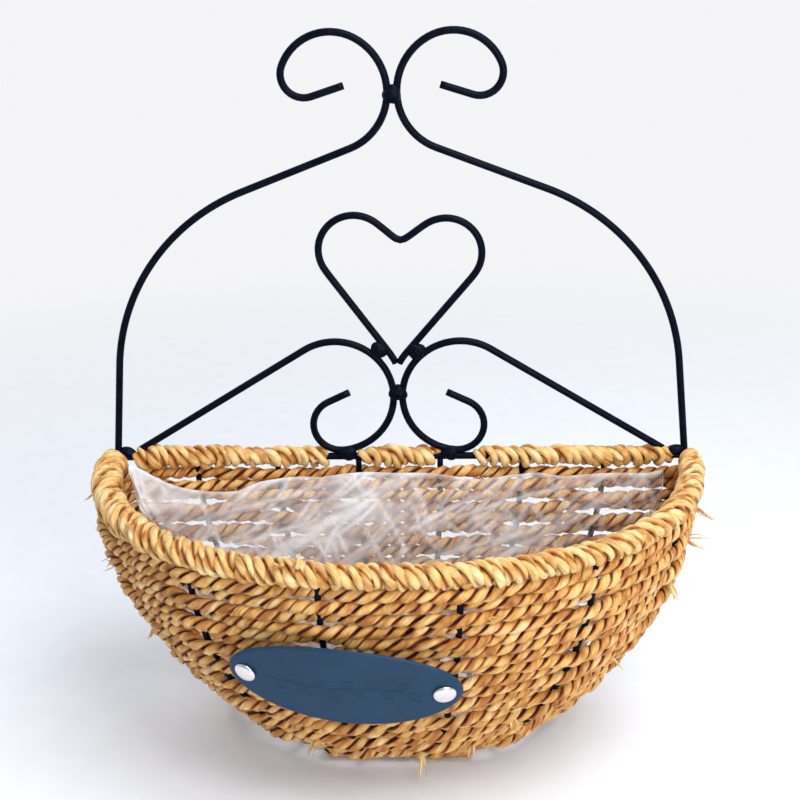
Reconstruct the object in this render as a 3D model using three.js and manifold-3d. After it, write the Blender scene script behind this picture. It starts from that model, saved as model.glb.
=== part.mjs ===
// Half-round wall basket: a black wire frame with a heart, woven with twisted seagrass rope,
// holding a lift-out film liner, with a riveted oval plaque on its front.
// Lengths are in millimetres. +Z is up, the wall is on the +Y side and the front faces -Y.
// The origin is the point where the basket hangs on its hook, in the crotch under the neck weld.
// The model is made with the rim's ring in the plane z = 0, then lowered by HANG_HEIGHT.
import * as THREE from "three";
import { mergeVertices } from "three/addons/utils/BufferGeometryUtils.js";
import Module from "manifold-3d";

const wasm = await Module();
wasm.setup();

// ---------------------------------------------------------------- driving dimensions
const RIM_HALF_WIDTH = 146; // centre of the rim's ring to the middle of the basket
const RIM_DEPTH = 135.5; // centre of the ring to the back panel
const RIM_POWER = 2.23; // 2 is an ellipse; a little more makes the shoulders fuller
const BOWL_HEIGHT = 130;
const BOWL_TAPER = 0.45; // share of its width that the bowl loses between rim and base
const HANG_HEIGHT = 169; // hanging point above the rim
const FRAME_WIRE = 3.6; // diameters
const RIB_WIRE = 3;
const ROPE = 5.8;
const GAP = 0.3; // kept between pieces that touch

// ---------------------------------------------------------------- weave
const RIB_ANGLES = [-64.3, -38.6, -12.9, 12.9, 38.6, 64.3].map(THREE.MathUtils.degToRad);
const RIB_BACK_SPACING = 41.7; // between the ribs where they meet the back rail
const COURSES = 18;
const FIRST_COURSE_Z = -10.8;
const LAST_COURSE_Z = -124;
const COURSE_SPREAD = 0.08; // the courses lie this share closer than even at the rim
const WEAVE = (ROPE + RIB_WIRE) / 2 + 0.5; // how far a rope swings to each side of the ribs
const CORNER_RADIUS = 9; // of a rope where it turns the corner into the back panel
const BASE_ROWS = 6;
const FIRST_ROW_Y = -13.5;
const ROW_PITCH = 10.2;
const ROW_END_MARGIN = 9;

// ---------------------------------------------------------------- frame
const RAIL_Z = -1.5;
const RAIL_HALF_LENGTH = 147.5;
const RING_START_Y = -(FRAME_WIRE / 2 + GAP);
const RIM_BINDING_RADIUS = 5.8;
const RAIL_BINDING_RADIUS = 4.8;
const HEART_LEAN = THREE.MathUtils.degToRad(-2.3); // the heart leans a little to the right
const HEART_END_LIFT = 1.2; // rounds the heart's notch and seats its point on the centre weld
const WELD_DEPTH = FRAME_WIRE * 0.8;

// A rod is a start point, a heading in degrees and a list of [length, turn in degrees] runs.
const ARCH_ROD = {
  start: [144.35, 1.2],
  heading: 95.7,
  runs: [
    [47.5, 0],
    [115.2, 63.3],
    [56.6, 0],
    [63.9, -130.9],
    [40.5, -95.6],
    [24.4, -130.2],
    [16, 0],
  ],
};
const SCROLL_ROD = {
  start: [133.3, 2.3],
  heading: 148.5,
  runs: [
    [101.9, 0],
    [103.4, 205.2],
    [38.2, 161],
    [12, 0],
  ],
};
const HEART_HALF = {
  start: [0, 47.3],
  heading: 52.25,
  runs: [
    [59.1, 0],
    [51.1, 166.1],
    [14.4, 0],
  ],
};

// ---------------------------------------------------------------- plaque
const PLAQUE_LENGTH = 104;
const PLAQUE_HEIGHT = 50;
const PLAQUE_THICKNESS = 1.6;
const PLAQUE_BEND_RADIUS = 260;
const PLAQUE_STANDOFF = WEAVE + ROPE / 2 + 4; // from the ribs' surface to the plaque's back
const PLAQUE_STEPS = 16;
const PLAQUE_BLUNTNESS = 0.97; // the oval's ends are cut this share of the way to its tips
const RIVET_CAP_RADIUS = 5.1;
const RIVET_CAP_HEIGHT = 2.2;
const RIVET_SHANK_RADIUS = 0.8;
const RIVET_CAP_RIM = 0.5; // straight edge of the cap below its dome
const RIVET_CAP_LIFT = 0.9; // the bent plate keeps the flat cap this far from its surface
const RIVET_HEAD_RADIUS = 1.6;
const RIVET_HEAD_THICKNESS = 0.4;
const RIVET_HOLE_RADIUS = 1.3;
const TURNED_SIDES = 12;
const DOME_STEPS = 4;
const WASHER_RADIUS = 4;
const WASHER_THICKNESS = 0.8;
// Each rivet passes between two rope courses; below says which course is the upper one.
const RIVETS = [
  { side: "left", angle: THREE.MathUtils.degToRad(-26), below: 5 },
  { side: "right", angle: THREE.MathUtils.degToRad(9.7), below: 6 },
];

// ---------------------------------------------------------------- liner
const LINER_TOP_Z = -5;
const LINER_FLOOR_Z = -119.5;
const LINER_WALL = 1.2;
const LINER_INSET = 11; // from the ribs' surface to the liner's outside

// ---------------------------------------------------------------- materials
const paintedSteel = () =>
  new THREE.MeshStandardMaterial({ color: 0x0b1018, roughness: 0.35, metalness: 0.4 });
const seagrass = () =>
  new THREE.MeshStandardMaterial({ color: 0xc99a57, roughness: 0.8, metalness: 0 });
const film = () =>
  new THREE.MeshStandardMaterial({
    color: 0xe6e8ea,
    roughness: 0.2,
    metalness: 0,
    transparent: true,
    opacity: 0.35,
  });
const slate = () =>
  new THREE.MeshStandardMaterial({ color: 0x2e4459, roughness: 0.5, metalness: 0.1 });
const nickel = () =>
  new THREE.MeshStandardMaterial({ color: 0xe8e4df, roughness: 0.2, metalness: 0.9 });

// ---------------------------------------------------------------- the bowl's surface
// Share of its full width that the bowl keeps at height z.
function taper(z) {
  return 1 - BOWL_TAPER * (z / BOWL_HEIGHT) ** 2;
}

// Distance from the middle of the back panel to the rim, at an angle from straight ahead.
function rimRadius(angle) {
  const across = (Math.abs(Math.sin(angle)) / RIM_HALF_WIDTH) ** RIM_POWER;
  const ahead = (Math.abs(Math.cos(angle)) / RIM_DEPTH) ** RIM_POWER;
  return (across + ahead) ** (-1 / RIM_POWER);
}

// Outward normal of the bowl at an angle and height: radial, tipped down as the bowl tapers.
function bowlNormal(angle, z) {
  const slope = (-2 * BOWL_TAPER * z * rimRadius(angle)) / BOWL_HEIGHT ** 2;
  return new THREE.Vector3(Math.sin(angle), -Math.cos(angle), -slope).normalize();
}

// Point at a distance outside the ribs' surface.
function bowlPoint(angle, z, outside = 0) {
  const radius = rimRadius(angle) * taper(z);
  const onSurface = new THREE.Vector3(radius * Math.sin(angle), -radius * Math.cos(angle), z);
  return onSurface.addScaledVector(bowlNormal(angle, z), outside);
}

// Place of rib i along the back panel, at height z.
function backRibX(i, z) {
  return (i - (RIB_ANGLES.length - 1) / 2) * RIB_BACK_SPACING * taper(z);
}

// ---------------------------------------------------------------- solids
// A curve that passes through each of its points, one per extrusion step.
class Route extends THREE.Curve {
  constructor(points) {
    super();
    this.points = points;
  }
  get steps() {
    return this.points.length - 1;
  }
  getPoint(t, target = new THREE.Vector3()) {
    const at = t * this.steps;
    const i = Math.min(Math.floor(at + 1e-9), this.steps - 1);
    return target.lerpVectors(this.points[i], this.points[i + 1], at - i);
  }
  getPointAt(u, target) {
    return this.getPoint(u, target);
  }
  getTangentAt(u, target = new THREE.Vector3()) {
    const i = Math.round(u * this.steps);
    const ahead = this.points[Math.min(i + 1, this.steps)];
    const behind = this.points[Math.max(i - 1, 0)];
    return target.subVectors(ahead, behind).normalize();
  }
}

// Regular polygon with one of its flat sides facing along the given direction.
function roundSection(radius, sides, flatTowards = 0) {
  const section = new THREE.Shape();
  for (let i = 0; i < sides; i++) {
    const angle = flatTowards + ((i + 0.5) / sides) * 2 * Math.PI;
    section[i ? "lineTo" : "moveTo"](radius * Math.cos(angle), radius * Math.sin(angle));
  }
  section.closePath();
  return section;
}

function tube(points, radius, { sides = 8, boreRadius = 0, flatTowards = 0 } = {}) {
  const section = roundSection(radius, sides, flatTowards);
  if (boreRadius) section.holes.push(roundSection(boreRadius, sides));
  const route = new Route(points);
  return new THREE.ExtrudeGeometry(section, {
    steps: route.steps,
    bevelEnabled: false,
    extrudePath: route,
  });
}

function toManifold(geometry) {
  const bare = geometry.clone();
  bare.deleteAttribute("normal");
  bare.deleteAttribute("uv");
  const merged = mergeVertices(bare, 1e-4);
  return new wasm.Manifold(
    new wasm.Mesh({
      numProp: 3,
      vertProperties: merged.attributes.position.array,
      triVerts: new Uint32Array(merged.index.array),
    }),
  );
}

function toGeometry(solid) {
  const mesh = solid.getMesh();
  const geometry = new THREE.BufferGeometry();
  geometry.setAttribute("position", new THREE.BufferAttribute(mesh.vertProperties, 3));
  geometry.setIndex(new THREE.BufferAttribute(mesh.triVerts, 1));
  geometry.computeVertexNormals();
  return geometry;
}

// What is left of a solid after its neighbours are cut out of it: its largest piece.
function carve(geometry, neighbours) {
  const cut = neighbours.reduce((left, n) => left.subtract(toManifold(n)), toManifold(geometry));
  const pieces = cut.decompose();
  pieces.sort((a, b) => b.volume() - a.volume());
  return toGeometry(pieces[0]);
}

// Closed solid through rings of points, each ring in the same order, with flat ends.
function loft(rings) {
  const count = rings[0].length;
  const position = rings.flat().flatMap((p) => [p.x, p.y, p.z]);
  const index = [];
  for (let r = 0; r + 1 < rings.length; r++)
    for (let i = 0; i < count; i++) {
      const a = r * count + i;
      const b = r * count + ((i + 1) % count);
      index.push(a, b, b + count, a, b + count, a + count);
    }
  const flatEnd = (first, reversed) => {
    for (let i = 1; i + 1 < count; i++)
      index.push(first, first + (reversed ? i + 1 : i), first + (reversed ? i : i + 1));
  };
  flatEnd(0, true);
  flatEnd((rings.length - 1) * count, false);
  const geometry = new THREE.BufferGeometry();
  geometry.setAttribute("position", new THREE.Float32BufferAttribute(position, 3));
  geometry.setIndex(index);
  geometry.computeVertexNormals();
  return geometry;
}

// ---------------------------------------------------------------- assembly
const basket = new THREE.Group();
basket.position.z = -HANG_HEIGHT;

function add(name, geometry, material) {
  const mesh = new THREE.Mesh(geometry, material);
  mesh.name = name;
  basket.add(mesh);
  return mesh;
}

// ---------------------------------------------------------------- bent rods in the wall plane
const DEGREES_PER_STEP = 22;
const ARC_PER_STEP = 15;

// Points along straight runs and arcs, from [length, turn] pairs.
function bend({ start, heading, runs }) {
  const points = [new THREE.Vector3(start[0], 0, start[1])];
  let direction = THREE.MathUtils.degToRad(heading);
  for (const [length, turn] of runs) {
    const byAngle = Math.abs(turn) / DEGREES_PER_STEP;
    const steps = turn ? Math.ceil(Math.max(byAngle, length / ARC_PER_STEP)) : 1;
    for (let i = 0; i < steps; i++) {
      const halfTurn = THREE.MathUtils.degToRad(turn) / steps / 2;
      const last = points[points.length - 1];
      direction += halfTurn;
      const along = new THREE.Vector3(Math.cos(direction), 0, Math.sin(direction));
      points.push(last.clone().addScaledVector(along, length / steps));
      direction += halfTurn;
    }
  }
  return points;
}

function mirrored(points) {
  return points.map((p) => new THREE.Vector3(-p.x, p.y, p.z));
}

// The heart starts and ends at its point, with the two halves meeting in a rounded notch.
function heartPoints() {
  const half = bend(HEART_HALF);
  const notch = half.pop();
  notch.x = 0;
  notch.z += HEART_END_LIFT;
  half[0].x += FRAME_WIRE / 2 + GAP;
  half[0].z += HEART_END_LIFT;
  const tip = new THREE.Vector3(0, 0, HEART_HALF.start[1]);
  const up = new THREE.Vector3(0, 1, 0);
  return [...half, notch, ...mirrored(half).reverse()].map((p) =>
    p.sub(tip).applyAxisAngle(up, -HEART_LEAN).add(tip),
  );
}

const right = { arch: bend(ARCH_ROD), scroll: bend(SCROLL_ROD) };
const left = { arch: mirrored(right.arch), scroll: mirrored(right.scroll) };
const heart = heartPoints();

const railPoints = [-1, 1].map((side) => new THREE.Vector3(side * RAIL_HALF_LENGTH, 0, RAIL_Z));

// The front ring, from one back corner round to the other.
const RING_STEPS = 28;

function ringPoints() {
  const startAngle = Math.atan2(RIM_HALF_WIDTH, -RING_START_Y);
  const points = [];
  for (let i = 0; i <= RING_STEPS; i++) {
    const angle = startAngle * ((2 * i) / RING_STEPS - 1);
    const radius = rimRadius(angle);
    points.push(new THREE.Vector3(radius * Math.sin(angle), -radius * Math.cos(angle), RAIL_Z));
  }
  return points;
}
const ring = ringPoints();

function addFrameRods() {
  const wire = FRAME_WIRE / 2;
  add("left_arch_rod", tube(left.arch, wire), paintedSteel());
  add("right_arch_rod", tube(right.arch, wire), paintedSteel());
  add("left_scroll_rod", tube(left.scroll, wire), paintedSteel());
  add("right_scroll_rod", tube(right.scroll, wire), paintedSteel());
  add("heart_rod", tube(heart, wire), paintedSteel());
  add("back_rail", tube(railPoints, wire), paintedSteel());
  add("rim_ring", tube(ring, wire), paintedSteel());
}

// A weld is a lump on the front of the rods that it joins, shaped by the rods themselves.
const WELDS = [
  { name: "neck_weld", at: [0, 181], size: [4.4, 4.4] },
  { name: "centre_weld", at: [0, 33], size: [4.6, 4.2] },
  { name: "left_heart_weld", at: [-8.9, 55.6], size: [4.6, 4.2] },
  { name: "right_heart_weld", at: [9.4, 55], size: [4.6, 4.2] },
  { name: "left_rail_weld", at: [-26, 0.6], size: [4.6, 3.8] },
  { name: "right_rail_weld", at: [26, 0.6], size: [4.6, 3.8] },
  { name: "left_corner_weld", at: [-140, 2.2], size: [7.5, 4.4] },
  { name: "right_corner_weld", at: [140, 2.2], size: [7.5, 4.4] },
];

function addWelds() {
  const cutter = (points) => tube(points, FRAME_WIRE / 2 + GAP);
  const rods = [left.arch, right.arch, left.scroll, right.scroll, heart, railPoints, ring];
  const cutters = rods.map(cutter);
  for (const { name, at, size } of WELDS) {
    const lump = new THREE.SphereGeometry(1, 12, 8);
    lump.scale(size[0], WELD_DEPTH, size[1]);
    lump.translate(at[0], -WELD_DEPTH / 3, at[1]);
    add(name, carve(lump, cutters), paintedSteel());
  }
}

// ---------------------------------------------------------------- ribs
const RIB_WALL_STEPS = 7;
const RIB_TOP_Z = RAIL_Z - FRAME_WIRE / 2 - GAP;

// A rib runs from the ring down the bowl, across the base, and up the back panel to the rail.
function ribPoints(i) {
  const points = [];
  for (let step = 0; step <= RIB_WALL_STEPS; step++) {
    const z = RIB_TOP_Z + ((-BOWL_HEIGHT - RIB_TOP_Z) * step) / RIB_WALL_STEPS;
    points.push(bowlPoint(RIB_ANGLES[i], z));
  }
  for (let step = 0; step <= RIB_WALL_STEPS; step++) {
    const z = -BOWL_HEIGHT + ((RIB_TOP_Z + BOWL_HEIGHT) * step) / RIB_WALL_STEPS;
    points.push(new THREE.Vector3(backRibX(i, z), 0, z));
  }
  return points;
}

function addRibs() {
  RIB_ANGLES.forEach((_, i) => {
    add("rib_" + (i + 1), tube(ribPoints(i), RIB_WIRE / 2, { sides: 6 }), paintedSteel());
  });
}

// ---------------------------------------------------------------- rope courses
// A course is followed by its phase, which counts ribs: it starts half a gap before the first
// rib right of the back panel's middle, and each whole number is a crossing.
const CROSSINGS = 2 * RIB_ANGLES.length;
const BACK_RIBS_EACH_SIDE = RIB_ANGLES.length / 2;
const LAST_BACK_PHASE = BACK_RIBS_EACH_SIDE - 1;
const FRONT_MIDDLE_PHASE = (CROSSINGS - 1) / 2;
const LAID_FLAT = 0.15; // share of a gap over which a rope lies flat along a rib
const TURN_STARTS = 0.3; // shares of the corner gap where the turn starts and ends
const TURN_ENDS = 0.6;
const ENDS_APART = 0.01; // between the two ends of a course, in gaps

function courseZ(i) {
  const share = i / (COURSES - 1);
  const spread = share * (1 + COURSE_SPREAD * (share - 1));
  return FIRST_COURSE_Z + (LAST_COURSE_Z - FIRST_COURSE_Z) * spread;
}

// The rope's middle line without its weaving, with the outward direction there.
function courseStation(phase, z) {
  if (phase > FRONT_MIDDLE_PHASE) {
    const { point, normal } = courseStation(CROSSINGS - 1 - phase, z);
    point.x = -point.x;
    normal.x = -normal.x;
    return { point, normal };
  }
  const outermost = RIB_ANGLES.length - 1;
  if (phase <= LAST_BACK_PHASE) {
    const x = (phase + 0.5) * RIB_BACK_SPACING * taper(z);
    return { point: new THREE.Vector3(x, 0, z), normal: new THREE.Vector3(0, 1, 0) };
  }
  if (phase >= LAST_BACK_PHASE + 1) {
    const rib = outermost - (phase - LAST_BACK_PHASE - 1);
    const angle = RIB_ANGLES[0] + (rib * (RIB_ANGLES[outermost] - RIB_ANGLES[0])) / outermost;
    return { point: bowlPoint(angle, z), normal: bowlNormal(angle, z) };
  }
  const along = phase - LAST_BACK_PHASE;
  const turnX = RIM_HALF_WIDTH * taper(z) - CORNER_RADIUS;
  if (along <= TURN_ENDS) {
    const swept = Math.max(0, (along - TURN_STARTS) / (TURN_ENDS - TURN_STARTS)) * (Math.PI / 2);
    const normal = new THREE.Vector3(Math.sin(swept), Math.cos(swept), 0);
    const start = new THREE.Vector3(backRibX(outermost, z), 0, z);
    const middle = new THREE.Vector3(turnX, -CORNER_RADIUS, z);
    const onTurn = middle.addScaledVector(normal, CORNER_RADIUS);
    return { point: start.lerp(onTurn, Math.min(1, along / TURN_STARTS)), normal };
  }
  const turnAngle = Math.atan2(turnX + CORNER_RADIUS, CORNER_RADIUS);
  const share = (along - TURN_ENDS) / (1 - TURN_ENDS);
  const angle = THREE.MathUtils.lerp(turnAngle, RIB_ANGLES[outermost], share);
  return { point: bowlPoint(angle, z), normal: bowlNormal(angle, z) };
}

// How far out of the ribs' surface a rope lies: flat against each rib, straight between them.
function weaveOffset(phase) {
  const fromRib = Math.abs(phase - Math.round(phase));
  const side = Math.round(phase) % 2 ? -1 : 1;
  return side * WEAVE * Math.min(1, (0.5 - fromRib) / (0.5 - LAID_FLAT));
}

function coursePhases() {
  const phases = [-0.5 + ENDS_APART];
  const turns = [TURN_STARTS, (TURN_STARTS + TURN_ENDS) / 2, TURN_ENDS];
  for (let crossing = 0; crossing < CROSSINGS; crossing++) {
    phases.push(crossing - LAID_FLAT, crossing + LAID_FLAT);
    if (crossing === LAST_BACK_PHASE) phases.push(...turns.map((t) => crossing + t));
    else if (crossing === CROSSINGS - 2 - LAST_BACK_PHASE)
      phases.push(...turns.map((t) => crossing + 1 - t).reverse());
    else phases.push(crossing + 0.5);
  }
  phases[phases.length - 1] -= ENDS_APART;
  return phases;
}

function coursePoints(i) {
  const swing = i % 2 ? 1 : -1;
  return coursePhases().map((phase) => {
    const { point, normal } = courseStation(phase, courseZ(i));
    return point.addScaledVector(normal, swing * weaveOffset(phase));
  });
}

// A course gives way where a rivet's shank is pushed between it and the next one.
function addCourses() {
  for (let i = 0; i < COURSES; i++) {
    const rope = tube(coursePoints(i), ROPE / 2, { sides: 6, flatTowards: Math.PI / 2 });
    const passing = RIVETS.filter(({ below }) => i === below || i === below + 1);
    const channels = passing.map((rivet) =>
      drillAt(rivet, RIVET_SHANK_RADIUS + GAP, 2 * (WEAVE + ROPE), 0),
    );
    const name = "rope_course_" + String(i + 1).padStart(2, "0");
    add(name, channels.length ? carve(rope, channels) : rope, seagrass());
  }
}

// ---------------------------------------------------------------- woven base
const CLEAR_OF_RIB = ROPE / 2 + RIB_WIRE / 2 + 1;

// Half the width of the base, measured inside its outline at a distance y behind the front.
function baseHalfWidth(y) {
  const ahead = (Math.abs(y) / (RIM_DEPTH * taper(BOWL_HEIGHT))) ** RIM_POWER;
  return RIM_HALF_WIDTH * taper(BOWL_HEIGHT) * (1 - ahead) ** (1 / RIM_POWER);
}

// Where rib i crosses a row of the base.
function baseRibX(i, y) {
  const front = bowlPoint(RIB_ANGLES[i], -BOWL_HEIGHT);
  return THREE.MathUtils.lerp(backRibX(i, -BOWL_HEIGHT), front.x, y / front.y);
}

// A row runs over and under the ribs that it reaches.
function baseRowPoints(row) {
  const y = FIRST_ROW_Y - row * ROW_PITCH;
  const reach = baseHalfWidth(y) - ROW_END_MARGIN;
  const all = RIB_ANGLES.map((_, i) => baseRibX(i, y));
  const crossed = all.filter((x) => Math.abs(x) < reach - CLEAR_OF_RIB);
  const next = Math.min(...all.filter((x) => x > reach - CLEAR_OF_RIB), Infinity);
  const end = Math.min(reach, next - CLEAR_OF_RIB);
  const flat = CLEAR_OF_RIB / 2;
  const stations = [[-end, 0]];
  crossed.forEach((x, i) => {
    const side = (row + i) % 2 ? 1 : -1;
    stations.push([x - flat, side], [x + flat, side]);
  });
  stations.push([end, 0]);
  return stations.map(([x, side]) => new THREE.Vector3(x, y, -BOWL_HEIGHT + side * WEAVE));
}

function addBaseRows() {
  for (let row = 0; row < BASE_ROWS; row++)
    add("base_rope_row_" + (row + 1), tube(baseRowPoints(row), ROPE / 2), seagrass());
}

// ---------------------------------------------------------------- rope bindings
const RIM_BINDING_START_Y = -8;
const RAIL_BINDINGS = [
  { name: "left_rail_binding", from: -123, to: -41 },
  { name: "middle_rail_binding", from: -17.5, to: 17.5 },
  { name: "right_rail_binding", from: 41, to: 123 },
];

// The bindings are wrapped round the ring and the rail, and round the ribs' ends.
function addBindings() {
  const boreRadius = FRAME_WIRE / 2 + GAP;
  const ribs = RIB_ANGLES.map((_, i) => tube(ribPoints(i), RIB_WIRE / 2 + GAP, { sides: 6 }));
  const bound = ring.filter((p) => p.y < RIM_BINDING_START_Y);
  const rim = tube(bound, RIM_BINDING_RADIUS, { boreRadius });
  add("front_rim_binding", carve(rim, ribs), seagrass());
  for (const { name, from, to } of RAIL_BINDINGS) {
    const ends = [from, to].map((x) => new THREE.Vector3(x, 0, RAIL_Z));
    const sleeve = tube(ends, RAIL_BINDING_RADIUS, { boreRadius });
    add(name, carve(sleeve, ribs), seagrass());
  }
}

// ---------------------------------------------------------------- liner
const LINER_LEVELS = [LINER_TOP_Z, -35, -65, -90, -108, LINER_FLOOR_Z];
const LINER_FRONT_STEPS = 20;

// Outline of the liner at height z: a bowed front and a straight back.
function linerRing(z, inset) {
  const slope = (2 * BOWL_TAPER * z * RIM_DEPTH) / BOWL_HEIGHT ** 2;
  const inward = inset * Math.hypot(1, slope);
  const radiusAt = (angle) => rimRadius(angle) * taper(z) - inward;
  let corner = Math.PI / 2;
  for (let pass = 0; pass < 4; pass++) corner = Math.acos(inset / radiusAt(corner));
  const ringOfPoints = [];
  for (let i = 0; i <= LINER_FRONT_STEPS; i++) {
    const angle = corner * (1 - (2 * i) / LINER_FRONT_STEPS);
    const radius = radiusAt(angle);
    ringOfPoints.push(new THREE.Vector3(radius * Math.sin(angle), -radius * Math.cos(angle), z));
  }
  return ringOfPoints;
}

function addLiner() {
  const outer = LINER_LEVELS.map((z) => linerRing(z, LINER_INSET));
  const inner = LINER_LEVELS.map((z) =>
    linerRing(Math.max(z, LINER_FLOOR_Z + LINER_WALL), LINER_INSET + LINER_WALL),
  );
  add("liner", loft([...inner.reverse(), ...outer]), film());
}

// ---------------------------------------------------------------- plaque and rivets
function rivetSeat({ angle, below }, outside) {
  const z = (courseZ(below) + courseZ(below + 1)) / 2;
  return { point: bowlPoint(angle, z, outside), normal: bowlNormal(angle, z) };
}

// Oval plate bent round an upright axis, in its own frame: outside faces -Y, middle at 0.
function plaquePlate() {
  const rings = [];
  for (let i = 0; i <= PLAQUE_STEPS; i++) {
    const share = Math.sin(((i / PLAQUE_STEPS) * 2 - 1) * PLAQUE_BLUNTNESS * (Math.PI / 2));
    const half = (PLAQUE_HEIGHT / 2) * Math.sqrt(1 - share ** 2);
    const turn = (share * PLAQUE_LENGTH) / 2 / PLAQUE_BEND_RADIUS;
    const corner = (radius, z) =>
      new THREE.Vector3(
        radius * Math.sin(turn),
        PLAQUE_BEND_RADIUS - radius * Math.cos(turn),
        z,
      );
    const outside = PLAQUE_BEND_RADIUS + PLAQUE_THICKNESS;
    rings.push([
      corner(PLAQUE_BEND_RADIUS, -half),
      corner(PLAQUE_BEND_RADIUS, half),
      corner(outside, half),
      corner(outside, -half),
    ]);
  }
  return loft(rings);
}

// The plate's place: it passes through both rivets' seats and bulges between them.
function plaquePlace() {
  const [a, b] = RIVETS.map((rivet) => rivetSeat(rivet, PLAQUE_STANDOFF));
  const across = b.point.clone().sub(a.point);
  const sagitta =
    PLAQUE_BEND_RADIUS - Math.sqrt(PLAQUE_BEND_RADIUS ** 2 - (across.length() / 2) ** 2);
  const x = across.clone().normalize();
  const out = a.normal.clone().add(b.normal);
  out.addScaledVector(x, -out.dot(x)).normalize();
  const middle = a.point.clone().add(b.point).multiplyScalar(0.5).addScaledVector(out, sagitta);
  const y = out.clone().negate();
  const z = x.clone().cross(y);
  return new THREE.Matrix4().makeBasis(x, y, z).setPosition(middle);
}

// Turned solids are made round Y, then stood at a rivet's seat with Y pointing out.
function atSeat(geometry, rivet) {
  const { point, normal } = rivetSeat(rivet, 0);
  const turn = new THREE.Quaternion().setFromUnitVectors(new THREE.Vector3(0, 1, 0), normal);
  return geometry.applyQuaternion(turn).translate(point.x, point.y, point.z);
}

// Cylinder along a rivet's axis, its middle at a distance outside the ribs' surface.
function drillAt(rivet, radius, length, outside) {
  const drill = new THREE.CylinderGeometry(radius, radius, length, 10);
  return atSeat(drill.translate(0, outside, 0), rivet);
}

function turned(profile) {
  return new THREE.LatheGeometry(
    profile.map(([radius, height]) => new THREE.Vector2(radius, height)),
    TURNED_SIDES,
  );
}

// Domed cap, thin shank and the small head that is closed over the washer.
function rivetSolid() {
  const seat = PLAQUE_STANDOFF + PLAQUE_THICKNESS + RIVET_CAP_LIFT;
  const shoulder = seat + RIVET_CAP_RIM;
  const washerInside = -(WEAVE + ROPE / 2 + GAP + WASHER_THICKNESS + GAP);
  const dome = [];
  for (let i = 1; i < DOME_STEPS; i++) {
    const rise = ((i / DOME_STEPS) * Math.PI) / 2;
    const height = (RIVET_CAP_HEIGHT - RIVET_CAP_RIM) * Math.sin(rise);
    dome.push([RIVET_CAP_RADIUS * Math.cos(rise), shoulder + height]);
  }
  return turned([
    [0, washerInside - RIVET_HEAD_THICKNESS],
    [RIVET_HEAD_RADIUS, washerInside - RIVET_HEAD_THICKNESS],
    [RIVET_HEAD_RADIUS, washerInside],
    [RIVET_SHANK_RADIUS, washerInside],
    [RIVET_SHANK_RADIUS, seat],
    [RIVET_CAP_RADIUS, seat],
    [RIVET_CAP_RADIUS, shoulder],
    ...dome,
    [0, seat + RIVET_CAP_HEIGHT],
  ]);
}

function washerSolid() {
  const outside = -(WEAVE + ROPE / 2 + GAP);
  const bore = RIVET_SHANK_RADIUS + GAP;
  return turned([
    [bore, outside - WASHER_THICKNESS],
    [WASHER_RADIUS, outside - WASHER_THICKNESS],
    [WASHER_RADIUS, outside],
    [bore, outside],
    [bore, outside - WASHER_THICKNESS],
  ]);
}

function addPlaque() {
  const holes = RIVETS.map((rivet) => drillAt(rivet, RIVET_HOLE_RADIUS, 8, PLAQUE_STANDOFF));
  const plate = plaquePlate().applyMatrix4(plaquePlace());
  add("plaque", carve(plate, holes), slate());
  for (const rivet of RIVETS) {
    add(rivet.side + "_rivet", atSeat(rivetSolid(), rivet), nickel());
    add(rivet.side + "_rivet_washer", atSeat(washerSolid(), rivet), nickel());
  }
}

addFrameRods();
addWelds();
addRibs();
addCourses();
addBaseRows();
addBindings();
addLiner();
addPlaque();

export default basket;
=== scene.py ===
# Looks of the half-round wall basket: black wire frame, woven seagrass rope, film liner, plaque.
# Formulas are in millimetres with the rim's ring at z = 0, as in the CAD source; Shape.finish turns
# them into metres in the part's own frame.
import math

import bpy
import numpy as np
from mathutils import Matrix, Vector


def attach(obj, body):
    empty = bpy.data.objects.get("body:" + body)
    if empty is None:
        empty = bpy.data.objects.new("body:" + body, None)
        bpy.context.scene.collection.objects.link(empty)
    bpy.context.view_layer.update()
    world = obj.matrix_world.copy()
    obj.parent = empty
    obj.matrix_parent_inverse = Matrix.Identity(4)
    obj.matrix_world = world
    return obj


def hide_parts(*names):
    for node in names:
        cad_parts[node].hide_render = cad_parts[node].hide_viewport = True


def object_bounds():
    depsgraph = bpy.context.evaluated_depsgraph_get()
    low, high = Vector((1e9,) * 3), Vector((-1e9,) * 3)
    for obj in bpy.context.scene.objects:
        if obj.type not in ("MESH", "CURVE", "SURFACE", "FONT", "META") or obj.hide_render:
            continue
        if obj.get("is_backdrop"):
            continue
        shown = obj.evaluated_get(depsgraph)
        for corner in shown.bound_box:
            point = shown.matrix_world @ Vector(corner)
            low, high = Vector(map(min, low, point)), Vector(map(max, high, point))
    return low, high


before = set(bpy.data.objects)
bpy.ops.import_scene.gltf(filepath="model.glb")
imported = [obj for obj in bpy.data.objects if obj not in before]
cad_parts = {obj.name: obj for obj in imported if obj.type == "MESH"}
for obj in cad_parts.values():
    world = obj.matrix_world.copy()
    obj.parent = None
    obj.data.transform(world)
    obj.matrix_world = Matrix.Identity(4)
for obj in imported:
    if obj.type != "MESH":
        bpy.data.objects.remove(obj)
cad_low, cad_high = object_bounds()

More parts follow.
